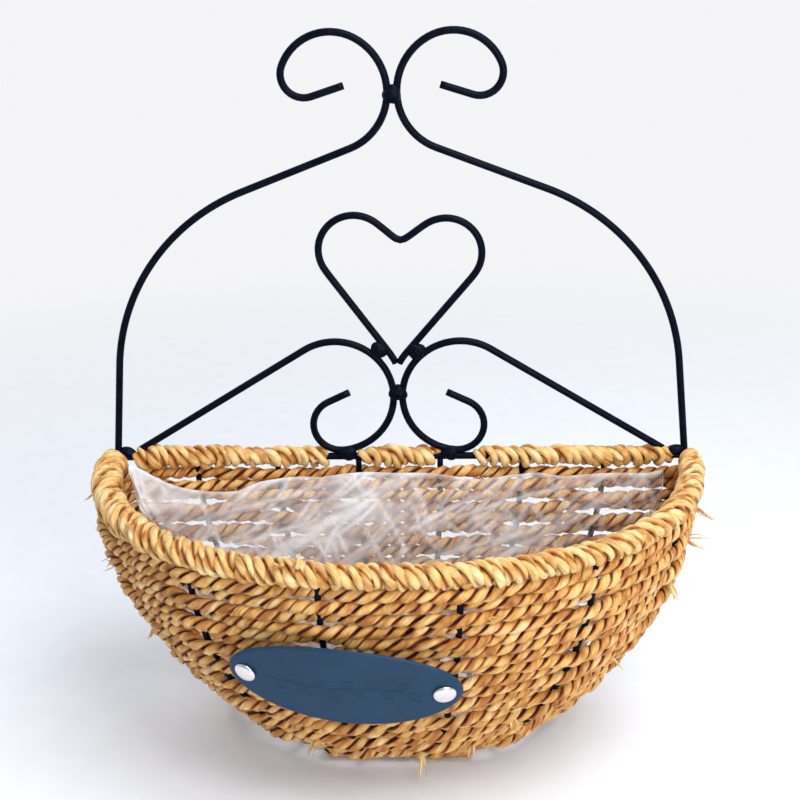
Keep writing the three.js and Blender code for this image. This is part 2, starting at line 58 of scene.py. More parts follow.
# ---------------------------------------------------------------- sizes shared with the CAD
RIM_HALF_WIDTH = 146
RIM_DEPTH = 135.5
RIM_POWER = 2.23
BOWL_HEIGHT = 130
BOWL_TAPER = 0.45
HANG_HEIGHT = 169
FRAME_WIRE = 3.6
RIB_WIRE = 3
ROPE = 5.8
RIB_ANGLES = np.radians([-64.3, -38.6, -12.9, 12.9, 38.6, 64.3])
RIB_BACK_SPACING = 41.7
COURSES = 18
FIRST_COURSE_Z = -10.8
LAST_COURSE_Z = -124
COURSE_SPREAD = 0.08
WEAVE = 4.9
CORNER_RADIUS = 9
BASE_ROWS = 6
FIRST_ROW_Y = -13.5
ROW_PITCH = 10.2
ROW_END_MARGIN = 9
RAIL_Z = -1.5
RAIL_HALF_LENGTH = 147.5
RING_START_Y = -2.1
RIM_BINDING_RADIUS = 5.8
RAIL_BINDING_RADIUS = 4.8
HEART_LEAN = math.radians(-2.3)
HEART_END_LIFT = 1.2
ARCH_ROD = (
    (144.35, 1.2),
    95.7,
    [(47.5, 0), (115.2, 63.3), (56.6, 0), (63.9, -130.9), (40.5, -95.6), (24.4, -130.2), (16, 0)],
)
SCROLL_ROD = ((133.3, 2.3), 148.5, [(101.9, 0), (103.4, 205.2), (38.2, 161), (12, 0)])
HEART_HALF = ((0, 47.3), 52.25, [(59.1, 0), (51.1, 166.1), (14.4, 0)])
DEGREES_PER_STEP = 22
ARC_PER_STEP = 15
WELDS = {
    "neck": ((0, 181), (4.4, 4.4)),
    "centre": ((0, 33), (4.6, 4.2)),
    "left_heart": ((-8.9, 55.6), (4.6, 4.2)),
    "right_heart": ((9.4, 55), (4.6, 4.2)),
    "left_rail": ((-26, 0.6), (4.6, 3.8)),
    "right_rail": ((26, 0.6), (4.6, 3.8)),
    "left_corner": ((-140, 1.2), (5.6, 3.0)),
    "right_corner": ((140, 1.2), (5.6, 3.0)),
}
PLAQUE_LENGTH = 104
PLAQUE_HEIGHT = 50
PLAQUE_THICKNESS = 1.6
PLAQUE_BEND_RADIUS = 260
PLAQUE_STANDOFF = WEAVE + ROPE / 2 + 4
RIVETS = {"left": (math.radians(-26), 5), "right": (math.radians(9.7), 6)}
LINER_TOP_Z = -5
LINER_FLOOR_Z = -119.5
LINER_INSET = 11

# ---------------------------------------------------------------- looks
STRAND_PITCH = 15  # length of one full twist of the two strands
STRAND_OFFSET = 1.5
STRAND_HALF_WIDTH = 2.15
STRAND_HALF_DEPTH = 1.75
SWING = 3.3  # the real rope flattens where it passes a rib, so it swings less than WEAVE
BASE_ROPE_SIZE = 1.45  # the rows under the bowl lie side by side, flattened by its weight
BASE_SAG = 2
BASE_SWING = 1.2
FULLER_LEFT = 3.2
SWING_REACH = 0.21  # of the space between ribs, on each side of a rib
ROPE_STEP = 0.8
WHIPPING_TWIST = 19
# The leaf is wound on towards the corners, past the CAD's plain sleeves.
RIM_WHIPPING_START_Y = -3.5
RAIL_WHIPPINGS = {"left": (-134, -38), "middle": (-19, 18), "right": (40, 138)}
CREASE_WIDTH = 1.1
FACET_JUMBLE = 12.9  # turns a facet's number into an unrelated angle
HEM_WIDTH = 1.8
FLAP_SHARE = 0.613  # where, round the film, a fold stands up in the left corner
FINE_STEP = 3  # millimetres between the rings of a smooth rod
SEAM_SETTLE = 10  # a closed rope wanders less and less this near to where its ends meet
UNEVEN_TWIST = 1.6  # radians
UNEVEN_THICKNESS = 0.18
WIDE_FOLD = 0.1  # folds and swelling of a leaf strand, as shares of its size
FINE_FOLD = 0.2
FINE_FOLD_MEAN = 0.6
STRAND_SWELL = 0.16
UP = np.array([0.0, 0.0, 1.0])
BACKWARDS = np.array([0.0, 1.0, 0.0])


# ---------------------------------------------------------------- materials
# Colours are linear red, green and blue, from 0 to 1.
def new_material(name):
    material = bpy.data.materials.new(name)
    material.use_nodes = True
    return material, material.node_tree.nodes, material.node_tree.links


def set_values(shader, **values):
    for socket, value in values.items():
        shader.inputs[socket.replace("_", " ")].default_value = value


def stretched_noise(nodes, links, coordinate, stretch, scale, detail=3.0):
    """Noise over a coordinate that is first stretched; returns the value's socket."""
    mapping = nodes.new("ShaderNodeMapping")
    mapping.inputs["Scale"].default_value = stretch
    links.new(coordinate, mapping.inputs["Vector"])
    noise = nodes.new("ShaderNodeTexNoise")
    noise.inputs["Scale"].default_value = scale
    noise.inputs["Detail"].default_value = detail
    links.new(mapping.outputs["Vector"], noise.inputs["Vector"])
    return noise.outputs["Fac"]


def ramp(nodes, links, value, stops):
    node = nodes.new("ShaderNodeValToRGB")
    elements = node.color_ramp.elements
    while len(elements) < len(stops):
        elements.new(0.5)
    for element, (place, colour) in zip(elements, stops):
        element.position = place
        element.color = (*colour, 1)
    links.new(value, node.inputs["Fac"])
    return node.outputs["Color"]


def mix_colour(nodes, links, mode, amount, first, second):
    node = nodes.new("ShaderNodeMix")
    node.data_type = "RGBA"
    node.blend_type = mode
    if isinstance(amount, float):
        node.inputs["Factor"].default_value = amount
    else:
        links.new(amount, node.inputs["Factor"])
    for socket, colour in ((node.inputs[6], first), (node.inputs[7], second)):
        if isinstance(colour, tuple):
            socket.default_value = (*colour, 1)
        else:
            links.new(colour, socket)
    return node.outputs[2]


def add_bump(nodes, links, shader, height, distance, strength=1.0):
    bump = nodes.new("ShaderNodeBump")
    bump.inputs["Distance"].default_value = distance
    bump.inputs["Strength"].default_value = strength
    links.new(height, bump.inputs["Height"])
    links.new(bump.outputs["Normal"], shader.inputs["Normal"])


def painted_steel():
    """Black satin paint, a little uneven, with a blue cast."""
    material, nodes, links = new_material("painted_steel")
    shader = nodes["Principled BSDF"]
    coordinate = nodes.new("ShaderNodeTexCoord").outputs["Object"]
    uneven = stretched_noise(nodes, links, coordinate, (1, 1, 1), 260)
    colour = ramp(nodes, links, uneven, [(0.35, (0.0015, 0.003, 0.009)), (0.7, (0.003, 0.006, 0.014))])
    links.new(colour, shader.inputs["Base Color"])
    rough = ramp(nodes, links, uneven, [(0.3, (0.26,) * 3), (0.75, (0.42,) * 3)])
    links.new(rough, shader.inputs["Roughness"])
    set_values(shader, Specular_IOR_Level=0.05)
    add_bump(nodes, links, shader, uneven, 0.0002, 0.25)
    return material


def seagrass(name, tones, red, painted_shade_tones):
    """Twisted leaf strips: streaks along each strand, redder patches, and painted shade where strands meet.
    """
    material, nodes, links = new_material(name)
    shader = nodes["Principled BSDF"]
    strand = nodes.new("ShaderNodeUVMap")
    strand.uv_map = "strand"
    along = strand.outputs["UV"]
    patches = stretched_noise(nodes, links, along, (130, 1.4, 1), 1, 3)
    streaks = stretched_noise(nodes, links, along, (170, 34, 1), 1, 4)
    folds = stretched_noise(nodes, links, along, (80, 9, 1), 1, 2)
    base = ramp(nodes, links, patches, tones)
    streak = ramp(nodes, links, streaks, [(0.34, (0.5, 0.38, 0.26)), (0.55, (1.0, 1.0, 1.0))])
    base = mix_colour(nodes, links, "MULTIPLY", 0.7, base, streak)
    redness = stretched_noise(nodes, links, along, (60, 2.4, 1), 1, 1)
    where_red = ramp(nodes, links, redness, [(0.56, (0, 0, 0)), (0.68, (red,) * 3)])
    base = mix_colour(nodes, links, "MIX", where_red, base, (0.45, 0.13, 0.03))
    # Painted shade: the colour darkens towards the sides of each strand that face into the rope.
    split = nodes.new("ShaderNodeSeparateXYZ")
    links.new(along, split.inputs["Vector"])
    painted_shade = ramp(nodes, links, split.outputs["Y"], painted_shade_tones)
    base = mix_colour(nodes, links, "MULTIPLY", 1.0, base, painted_shade)
    links.new(base, shader.inputs["Base Color"])
    rough = ramp(nodes, links, folds, [(0.3, (0.42,) * 3), (0.7, (0.62,) * 3)])
    links.new(rough, shader.inputs["Roughness"])
    set_values(shader, Specular_IOR_Level=0.35)
    both = mix_colour(nodes, links, "MIX", 0.5, streaks, folds)
    add_bump(nodes, links, shader, both, 0.0012, 1.0)
    return material


def film():
    """Thin clear film: a milky veil, whiter in patches and at its hem, with a painted highlight along its
    creases.
    """
    material, nodes, links = new_material("film")
    shader = nodes["Principled BSDF"]
    coordinate = nodes.new("ShaderNodeTexCoord").outputs["Object"]
    haze = stretched_noise(nodes, links, coordinate, (1, 1.4, 1.8), 24, 5)
    cloud = ramp(nodes, links, haze, [(0.4, (0.05,) * 3), (0.54, (0.12,) * 3), (0.7, (0.45,) * 3)])
    # The film's whiteness comes from the mesh, including the painted highlight along its creases.
    whiteness_and_highlight = nodes.new("ShaderNodeAttribute")
    whiteness_and_highlight.attribute_name = "whiteness_and_highlight"
    alpha = mix_colour(nodes, links, "ADD", 1.0, cloud, whiteness_and_highlight.outputs["Color"])
    links.new(alpha, shader.inputs["Alpha"])
    wrinkles = stretched_noise(nodes, links, coordinate, (1, 1.5, 1), 60, 4)
    add_bump(nodes, links, shader, wrinkles, 0.003, 0.8)
    set_values(shader, Base_Color=(0.95, 0.96, 0.98, 1), Roughness=0.12, Specular_IOR_Level=1.0)
    return material


def slate():
    """Dark slate blue satin lacquer, with fine dust."""
    material, nodes, links = new_material("slate")
    shader = nodes["Principled BSDF"]
    coordinate = nodes.new("ShaderNodeTexCoord").outputs["Object"]
    grain = stretched_noise(nodes, links, coordinate, (1, 1, 1), 900, 3)
    cloud = stretched_noise(nodes, links, coordinate, (1, 1, 1), 45, 3)
    base = ramp(nodes, links, cloud, [(0.3, (0.011, 0.04, 0.085)), (0.7, (0.017, 0.052, 0.105))])
    dust = ramp(nodes, links, grain, [(0.7, (0, 0, 0)), (0.78, (0.35,) * 3)])
    base = mix_colour(nodes, links, "MIX", dust, base, (0.16, 0.19, 0.22))
    links.new(base, shader.inputs["Base Color"])
    rough = ramp(nodes, links, cloud, [(0.3, (0.4,) * 3), (0.7, (0.55,) * 3)])
    links.new(rough, shader.inputs["Roughness"])
    set_values(shader, Specular_IOR_Level=0.15)
    add_bump(nodes, links, shader, grain, 0.0002, 0.35)
    return material


def nickel():
    """Polished plated caps with faint scratches."""
    material, nodes, links = new_material("nickel")
    shader = nodes["Principled BSDF"]
    coordinate = nodes.new("ShaderNodeTexCoord").outputs["Object"]
    scratches = stretched_noise(nodes, links, coordinate, (1, 1, 9), 700, 3)
    rough = ramp(nodes, links, scratches, [(0.35, (0.14,) * 3), (0.75, (0.34,) * 3)])
    links.new(rough, shader.inputs["Roughness"])
    tone = ramp(nodes, links, scratches, [(0.3, (0.72, 0.7, 0.67)), (0.7, (0.88, 0.86, 0.84))])
    links.new(tone, shader.inputs["Base Color"])
    set_values(shader, Metallic=1.0)
    return material


ROPE_TONES = [
    (0.28, (0.36, 0.115, 0.02)),
    (0.4, (0.66, 0.3, 0.07)),
    (0.52, (0.92, 0.52, 0.16)),
    (0.68, (1.0, 0.74, 0.34)),
]
BINDING_TONES = [
    (0.28, (0.56, 0.23, 0.05)),
    (0.4, (0.84, 0.46, 0.14)),
    (0.52, (0.98, 0.66, 0.26)),
    (0.68, (1.0, 0.84, 0.46)),
]
# Painted shade across a strand, from the side that faces the rope's middle, over the outside, and back:
# darkest where the strands meet, none on the outside.
ROPE_PAINTED_SHADE = [
    (0.19, (0.05, 0.015, 0.004)),
    (0.26, (0.42, 0.17, 0.06)),
    (0.33, (1.0, 1.0, 1.0)),
    (0.67, (1.0, 1.0, 1.0)),
    (0.74, (0.42, 0.17, 0.06)),
    (0.81, (0.05, 0.015, 0.004)),
]
# The binding's painted shade where its strands meet.
BINDING_PAINTED_SHADE = [
    (0.04, (0.2, 0.08, 0.03)),
    (0.2, (0.66, 0.42, 0.22)),
    (0.3, (1.0, 1.0, 1.0)),
    (0.7, (1.0, 1.0, 1.0)),
    (0.8, (0.66, 0.42, 0.22)),
    (0.96, (0.2, 0.08, 0.03)),
]
STEEL = painted_steel()
ROPE_LEAF = seagrass("rope_leaf", ROPE_TONES, 0.8, ROPE_PAINTED_SHADE)
BINDING_LEAF = seagrass("binding_leaf", BINDING_TONES, 0.5, BINDING_PAINTED_SHADE)
FILM = film()
SLATE = slate()
NICKEL = nickel()


# ---------------------------------------------------------------- meshes
def unit(vectors):
    return vectors / np.linalg.norm(vectors, axis=-1, keepdims=True)


class Shape:
    """Gathers tubes and grids of points into one mesh."""

    def __init__(self):
        self.points = []
        self.faces = []
        self.uvs = []
        self.count = 0

    def grid(
        self, points, wrap_rows=False, wrap_columns=False, caps=False, uv_start=0.0, uv_across=(0, 1)
    ):
        """Quads over points[row, column].

        U is the length in metres from row to row. V goes once round the columns: it starts at
        uv_across[0] and grows by uv_across[1].
        """
        rows, columns = points.shape[:2]
        step = np.linalg.norm(np.diff(points.mean(axis=1), axis=0), axis=1)
        along = np.concatenate([[0], np.cumsum(step)]) / 1000 + uv_start
        last_step = 0.001
        row_count = rows if wrap_rows else rows - 1
        column_count = columns if wrap_columns else columns - 1
        for r in range(row_count):
            below, above = self.count + r * columns, self.count + (r + 1) % rows * columns
            u0 = along[r]
            u1 = along[r + 1] if r + 1 < rows else u0 + last_step
            for c in range(column_count):
                d = (c + 1) % columns
                self.faces.append((below + c, below + d, above + d, above + c))
                v0, v1 = (uv_across[0] + uv_across[1] * k / columns for k in (c, c + 1))
                self.uvs.extend((u0, v0, u0, v1, u1, v1, u1, v0))
        if caps:
            first = range(self.count + columns - 1, self.count - 1, -1)
            last = range(self.count + (rows - 1) * columns, self.count + rows * columns)
            for ring, u in ((first, along[0]), (last, along[-1])):
                self.faces.append(tuple(ring))
                self.uvs.extend((u, 0.5) * columns)
        self.points.append(points.reshape(-1, 3))
        self.count += rows * columns

    def finish(self, name, material, body, nodes=()):
        points = np.concatenate(self.points)
        points = (points - [0, 0, HANG_HEIGHT]) / 1000
        mesh = bpy.data.meshes.new(name)
        mesh.from_pydata(points.tolist(), [], self.faces)
        mesh.uv_layers.new(name="strand").data.foreach_set("uv", np.array(self.uvs, np.float32))
        mesh.shade_smooth()
        mesh.materials.append(material)
        piece = bpy.data.objects.new(name, mesh)
        bpy.context.scene.collection.objects.link(piece)
        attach(piece, body)
        if nodes:
            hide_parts(*nodes)
        return piece


def interpolate(at, places, values):
    """Rows of values, given at places, read at other places between them."""
    return np.stack([np.interp(at, places, column) for column in values.T], axis=1)


def resample(points, step, closed=False):
    """Points an even step apart along a polyline; a closed line doesn't repeat its start."""
    if closed:
        points = np.vstack([points, points[:1]])
    length = np.concatenate([[0], np.cumsum(np.linalg.norm(np.diff(points, axis=0), axis=1))])
    count = max(2, round(length[-1] / step)) + 1
    at = np.linspace(0, length[-1], count)
    even = interpolate(at, length, points)
    return (even[:-1], at[:-1], length[-1]) if closed else (even, at, length[-1])


def smoothed(points, passes, closed=False):
    """Each point is pulled halfway to the middle of its neighbours, a few times over."""
    for _ in range(passes):
        near = (np.roll(points, 1, axis=0) + np.roll(points, -1, axis=0)) / 2
        mixed = (points + near) / 2
        if not closed:
            mixed[0], mixed[-1] = points[0], points[-1]
        points = mixed
    return points


def directions(path, towards, closed=False):
    """The path's tangent, and two directions across it, the first as near as can be to towards."""
    if closed:
        tangent = unit(np.roll(path, -1, axis=0) - np.roll(path, 1, axis=0))
    else:
        tangent = unit(np.gradient(path, axis=0))
    towards = np.broadcast_to(towards, path.shape)
    across = unit(towards - (towards * tangent).sum(axis=1, keepdims=True) * tangent)
    return tangent, across, np.cross(tangent, across)


def wander(rng, along, spacing):
    """Smooth random values from -1 to 1 that change over a spacing."""
    knots = rng.uniform(-1, 1, int(along[-1] / spacing) + 4)
    place = along / spacing
    i = place.astype(int)
    share = place - i
    share = share * share * (3 - 2 * share)
    return knots[i] * (1 - share) + knots[i + 1] * share


def tube(shape, path, towards, radius, sides=14, closed=False):
    """A round tube; radius is a number, or one number for each point."""
    _, across, other = directions(path, towards, closed)
    angle = np.linspace(0, 2 * math.pi, sides, endpoint=False)[:, None]
    ring = np.cos(angle) * across[:, None, :] + np.sin(angle) * other[:, None, :]
    radius = np.broadcast_to(radius, (len(path),))[:, None, None]
    points = path[:, None, :] + radius * ring
    shape.grid(points, wrap_rows=closed, wrap_columns=True, caps=not closed)


def leaf_strand(shape, rng, path, towards, half_width, half_depth, closed=False, sides=12):
    """A strand of folded leaf: an oval tube with lengthwise folds, whose V starts on the side of towards."""
    _, across, other = directions(path, towards, closed)
    along = np.arange(len(path)) * np.linalg.norm(path[1] - path[0])
    settle = np.ones(len(path))
    if closed:
        settle = np.minimum(1, np.minimum(along, along[-1] - along) / SEAM_SETTLE)
    angle = np.linspace(0, 2 * math.pi, sides, endpoint=False)
    wide_turn = 2.5 * (wander(rng, along, spacing=9) * settle)[:, None]
    wide_fold = np.cos(2 * angle + wide_turn)
    fine_turn = 3 * (wander(rng, along, spacing=7) * settle)[:, None]
    fine_fold = np.abs(np.cos(2.5 * angle + fine_turn))
    fold = 1 + WIDE_FOLD * wide_fold + FINE_FOLD * (fine_fold - FINE_FOLD_MEAN)
    swell = 1 + STRAND_SWELL * (wander(rng, along, spacing=5) * settle)[:, None]
    depth = (half_depth * fold * swell * np.cos(angle))[:, :, None]
    width = (half_width * fold * swell * np.sin(angle))[:, :, None]
    points = path[:, None, :] + depth * across[:, None, :] + width * other[:, None, :]
    start = rng.uniform(0, 40)
    shape.grid(points, wrap_rows=closed, wrap_columns=True, caps=not closed, uv_start=start)


def rope(shape, rng, path, towards, closed=False, size=1.0, pitch=STRAND_PITCH):
    """Two strands twisted round each other along a path."""
    line, along, length = resample(path, ROPE_STEP, closed)
    if np.ndim(towards) > 1:
        place = np.linspace(0, len(towards) - 1, len(line))
        towards = interpolate(place, np.arange(len(towards)), towards)
    _, across, other = directions(line, towards, closed)
    settle = np.minimum(1, np.minimum(along, length - along) / SEAM_SETTLE) if closed else 1
    turns = round(length / pitch)
    even_twist = -2 * math.pi * turns * along / length
    twist = even_twist + UNEVEN_TWIST * wander(rng, along, spacing=30) * settle
    uneven = UNEVEN_THICKNESS * wander(rng, along, spacing=12) * settle
    thickness = size * (1 + uneven)[:, None]
    for strand in (0, math.pi):
        angle = (twist + strand)[:, None]
        out = np.cos(angle) * across + np.sin(angle) * other
        centre = line + STRAND_OFFSET * thickness * out
        half_width, half_depth = size * STRAND_HALF_WIDTH, size * STRAND_HALF_DEPTH
        leaf_strand(shape, rng, centre, -out, half_width, half_depth, closed)


# ---------------------------------------------------------------- the bowl's surface
def taper(z):
    return 1 - BOWL_TAPER * (z / BOWL_HEIGHT) ** 2


def rim_radius(angle):
    across = (np.abs(np.sin(angle)) / RIM_HALF_WIDTH) ** RIM_POWER
    ahead = (np.abs(np.cos(angle)) / RIM_DEPTH) ** RIM_POWER
    return (across + ahead) ** (-1 / RIM_POWER)


def stack(x, y, z):
    return np.stack(np.broadcast_arrays(x, y, z), axis=-1).astype(float)


def bowl_normal(angle, z):
    slope = -2 * BOWL_TAPER * z * rim_radius(angle) / BOWL_HEIGHT**2
    return unit(stack(np.sin(angle), -np.cos(angle), -slope))


def bowl_point(angle, z, outside=0):
    radius = rim_radius(angle) * taper(z)
    surface = stack(radius * np.sin(angle), -radius * np.cos(angle), z)
    return surface + outside * bowl_normal(angle, z)


def back_rib_x(i, z):
    return (i - (len(RIB_ANGLES) - 1) / 2) * RIB_BACK_SPACING * taper(z)


# ---------------------------------------------------------------- frame
def bend(start, heading, runs):
    """Points along straight runs and arcs; arcs lie on the circle through the CAD's points."""
    points = [np.array([start[0], 0.0, start[1]])]
    direction = math.radians(heading)
    for length, turn in runs:
        if turn:
            coarse = math.ceil(max(abs(turn) / DEGREES_PER_STEP, length / ARC_PER_STEP))
            half = math.radians(abs(turn)) / coarse / 2
            radius = length / coarse / 2 / math.sin(half)
            steps = coarse * math.ceil(length / coarse / FINE_STEP)
            chord = 2 * radius * math.sin(math.radians(abs(turn)) / steps / 2)
        else:
            steps = math.ceil(length / FINE_STEP)
            chord = length / steps
        for _ in range(steps):
            direction += math.radians(turn) / steps / 2
            ahead = np.array([math.cos(direction), 0, math.sin(direction)])
            points.append(points[-1] + chord * ahead)
            direction += math.radians(turn) / steps / 2
    return np.array(points)


def mirrored(points):
    return points * [-1, 1, 1]


def heart_path():
    half = bend(*HEART_HALF)[:-1]
    half[:, 2] += HEART_END_LIFT * np.linspace(1, 0, len(half))
    half[0, 0] += FRAME_WIRE / 4
    notch = half[-1] * [0, 0, 1] + [0, 0, -1.5]
    path = smoothed(np.vstack([half, [notch], mirrored(half)[::-1]]), 2)
    tip = np.array([0, 0, HEART_HALF[0][1]])
    cosine, sine = math.cos(-HEART_LEAN), math.sin(-HEART_LEAN)
    turn = np.array([[cosine, 0, sine], [0, 1, 0], [-sine, 0, cosine]])
    return (path - tip) @ turn.T + tip


def ring_path(steps=180, start_y=RING_START_Y):
    start = math.atan2(RIM_HALF_WIDTH, -start_y)
    angle = np.linspace(-start, start, steps)
    radius = rim_radius(angle)
    return stack(radius * np.sin(angle), -radius * np.cos(angle), RAIL_Z)


def rail_path(start, end, step=2.0):
    x = np.linspace(start, end, round((end - start) / step) + 1)
    return stack(x, 0, RAIL_Z)


def add_rod(name, node, path, radius=FRAME_WIRE / 2, towards=BACKWARDS):
    shape = Shape()
    tube(shape, path, towards, radius, sides=20)
    shape.finish(name, STEEL, "frame", [node])


def add_frame():
    right_arch, right_scroll = bend(*ARCH_ROD), bend(*SCROLL_ROD)
    add_rod("arch_rod_right", "right_arch_rod", right_arch)
    add_rod("arch_rod_left", "left_arch_rod", mirrored(right_arch))
    add_rod("scroll_rod_right", "right_scroll_rod", right_scroll)
    add_rod("scroll_rod_left", "left_scroll_rod", mirrored(right_scroll))
    add_rod("heart_wire", "heart_rod", heart_path())
    add_rod("back_rail_wire", "back_rail", rail_path(-RAIL_HALF_LENGTH, RAIL_HALF_LENGTH))
    add_rod("rim_ring_wire", "rim_ring", ring_path(), towards=UP)


WELD_DEPTH = FRAME_WIRE * 0.8
WELD_LUMPS = (0.09, 0.06)  # shares of the bead's size


def add_weld(name, at, size, seed):
    """A lumpy bead over the front of the rods."""
    rng = np.random.default_rng(seed)
    rows, columns = 18, 24
    polar = np.linspace(0.02, math.pi - 0.02, rows)[:, None]
    round_it = np.linspace(0, 2 * math.pi, columns, endpoint=False)[None, :]
    lobes = rng.uniform(0, 2 * math.pi, 3)
    lump = 1 + WELD_LUMPS[0] * np.sin(3 * round_it + lobes[0]) * np.sin(polar) ** 2
    lump = lump + WELD_LUMPS[1] * np.sin(5 * polar + lobes[1]) * np.cos(2 * round_it + lobes[2])
    x = at[0] + size[0] * lump * np.sin(polar) * np.cos(round_it)
    z = at[1] + size[1] * lump * np.sin(polar) * np.sin(round_it)
    y = -WELD_DEPTH / 3 + WELD_DEPTH * lump * np.cos(polar) * np.ones_like(round_it)
    shape = Shape()
    shape.grid(stack(x, y, z), wrap_columns=True, caps=True)
    shape.finish(name + "_bead", STEEL, "frame", [name + "_weld"])


def rib_path(i):
    top = RAIL_Z - FRAME_WIRE / 2
    down = np.linspace(top, -BOWL_HEIGHT, 40)
    front = bowl_point(RIB_ANGLES[i], down)
    back = stack(back_rib_x(i, down), 0, down)[::-1]
    path, _, _ = resample(np.vstack([front, back]), 2.0)
    return smoothed(path, 6)


def add_ribs():
    for i in range(len(RIB_ANGLES)):
        shape = Shape()
        tube(shape, rib_path(i), np.array([1.0, 0, 0]), RIB_WIRE / 2, sides=12)
        shape.finish(f"rib_wire_{i + 1}", STEEL, "frame", [f"rib_{i + 1}"])


# ---------------------------------------------------------------- rope courses
CROSSINGS = 2 * len(RIB_ANGLES)
LAST_BACK_PHASE = len(RIB_ANGLES) // 2 - 1
FRONT_MIDDLE_PHASE = (CROSSINGS - 1) / 2
# Where the rope goes round a corner, between the last back rib (0) and the outermost front one (1).
TURN_STARTS = 0.3
TURN_ENDS = 0.6
COURSE_POINTS = 720
COURSE_SEAM = 0.4  # as SEAM_SETTLE, in rib spacings
SLOW_RISE = 0.8  # how far a course wanders up and down
QUICK_RISE = 0.7
MEAN_SWING = 0.72  # share of SWING, and how much it varies from rib to rib
SWING_SPREAD = 0.38
LOOSENESS = 0.6


def course_line(phase, z):
    """The rope's middle line without its weaving, and the outward direction there."""
    side = np.where(phase > FRONT_MIDDLE_PHASE, -1, 1)
    phase = np.where(side < 0, CROSSINGS - 1 - phase, phase)
    along = phase - LAST_BACK_PHASE
    turn_x = RIM_HALF_WIDTH * taper(z) - CORNER_RADIUS
    swept = np.clip((along - TURN_STARTS) / (TURN_ENDS - TURN_STARTS), 0, 1) * math.pi / 2
    turn_normal = stack(np.sin(swept), np.cos(swept), 0)
    on_turn = stack(turn_x, -CORNER_RADIUS, z) + CORNER_RADIUS * turn_normal
    last_rib = stack(back_rib_x(len(RIB_ANGLES) - 1, z), 0, z)
    share = np.clip(along / TURN_STARTS, 0, 1)[:, None]
    corner = last_rib + (on_turn - last_rib) * share
    turn_angle = np.arctan2(turn_x + CORNER_RADIUS, CORNER_RADIUS)
    to_rib = (along - TURN_ENDS) / (1 - TURN_ENDS)
    before_rib = turn_angle + (RIB_ANGLES[-1] - turn_angle) * to_rib
    past_rib = RIB_ANGLES[-1] - (along - 1) * (RIB_ANGLES[-1] - RIB_ANGLES[-2])
    angle = np.where(along < 1, before_rib, past_rib)
    back = stack((phase + 0.5) * RIB_BACK_SPACING * taper(z), 0, z)
    on_back, on_corner = (along <= 0)[:, None], (along <= TURN_ENDS)[:, None]
    point = np.where(on_back, back, np.where(on_corner, corner, bowl_point(angle, z)))
    normal = np.where(on_corner, turn_normal, bowl_normal(angle, z))
    mirror = stack(side, 1, 1)
    return point * mirror, normal * mirror


def weave_offset(phase):
    """How far out of the ribs' surface a rope lies: it swings out only near the ribs."""
    from_rib = phase - np.round(phase)
    side = np.where(np.round(phase) % 2 == 1, -1, 1)
    return side * SWING * np.exp(-((from_rib / SWING_REACH) ** 2))


def course_z(i):
    share = i / (COURSES - 1)
    spread = share * (1 + COURSE_SPREAD * (share - 1))
    return FIRST_COURSE_Z + (LAST_COURSE_Z - FIRST_COURSE_Z) * spread


def course_path(i, rng):
    """A closed loop round the ribs, and the outward directions along it."""
    phase = np.linspace(-0.5, CROSSINGS - 0.5, COURSE_POINTS, endpoint=False)
    place = phase - phase[0]
    settle = np.minimum(1, np.minimum(place, place[-1] - place) / COURSE_SEAM)
    rise = SLOW_RISE * wander(rng, place, spacing=0.8) + QUICK_RISE * wander(rng, place, spacing=0.3)
    z = course_z(i) + rise * settle
    point, normal = course_line(phase, z)
    swing = (1 if i % 2 else -1) * (MEAN_SWING + SWING_SPREAD * wander(rng, place, spacing=1) * settle)
    offset = swing * weave_offset(phase) + LOOSENESS * wander(rng, place, spacing=0.35) * settle
    path = point + (offset + fullness(point))[:, None] * normal
    return smoothed(path, 6, closed=True), normal


FULLER_FROM_X = 90  # measured to the left
FULLER_OVER_X = 50
FULLER_DOWN_TO = 90
FULLER_FROM_BACK = 15  # over this distance from the back


def fullness(point):
    """The rope bulges out a little more at the bowl's left side, most of all near the rim."""
    leftness = np.clip((-point[:, 0] - FULLER_FROM_X) / FULLER_OVER_X, 0, 1)
    height = np.clip(1 + point[:, 2] / FULLER_DOWN_TO, 0, 1)
    in_front = np.clip(-point[:, 1] / FULLER_FROM_BACK, 0, 1)
    return FULLER_LEFT * leftness * height * in_front


def add_courses():
    for i in range(COURSES):
        rng = np.random.default_rng(100 + i)
        path, normal = course_path(i, rng)
        shape = Shape()
        rope(shape, rng, path, normal, closed=True)
        number = f"{i + 1:02d}"
        shape.finish("course_" + number, ROPE_LEAF, "frame", ["rope_course_" + number])


# ---------------------------------------------------------------- woven base
def base_half_width(y):
    ahead = (abs(y) / (RIM_DEPTH * taper(BOWL_HEIGHT))) ** RIM_POWER
    return RIM_HALF_WIDTH * taper(BOWL_HEIGHT) * (1 - ahead) ** (1 / RIM_POWER)


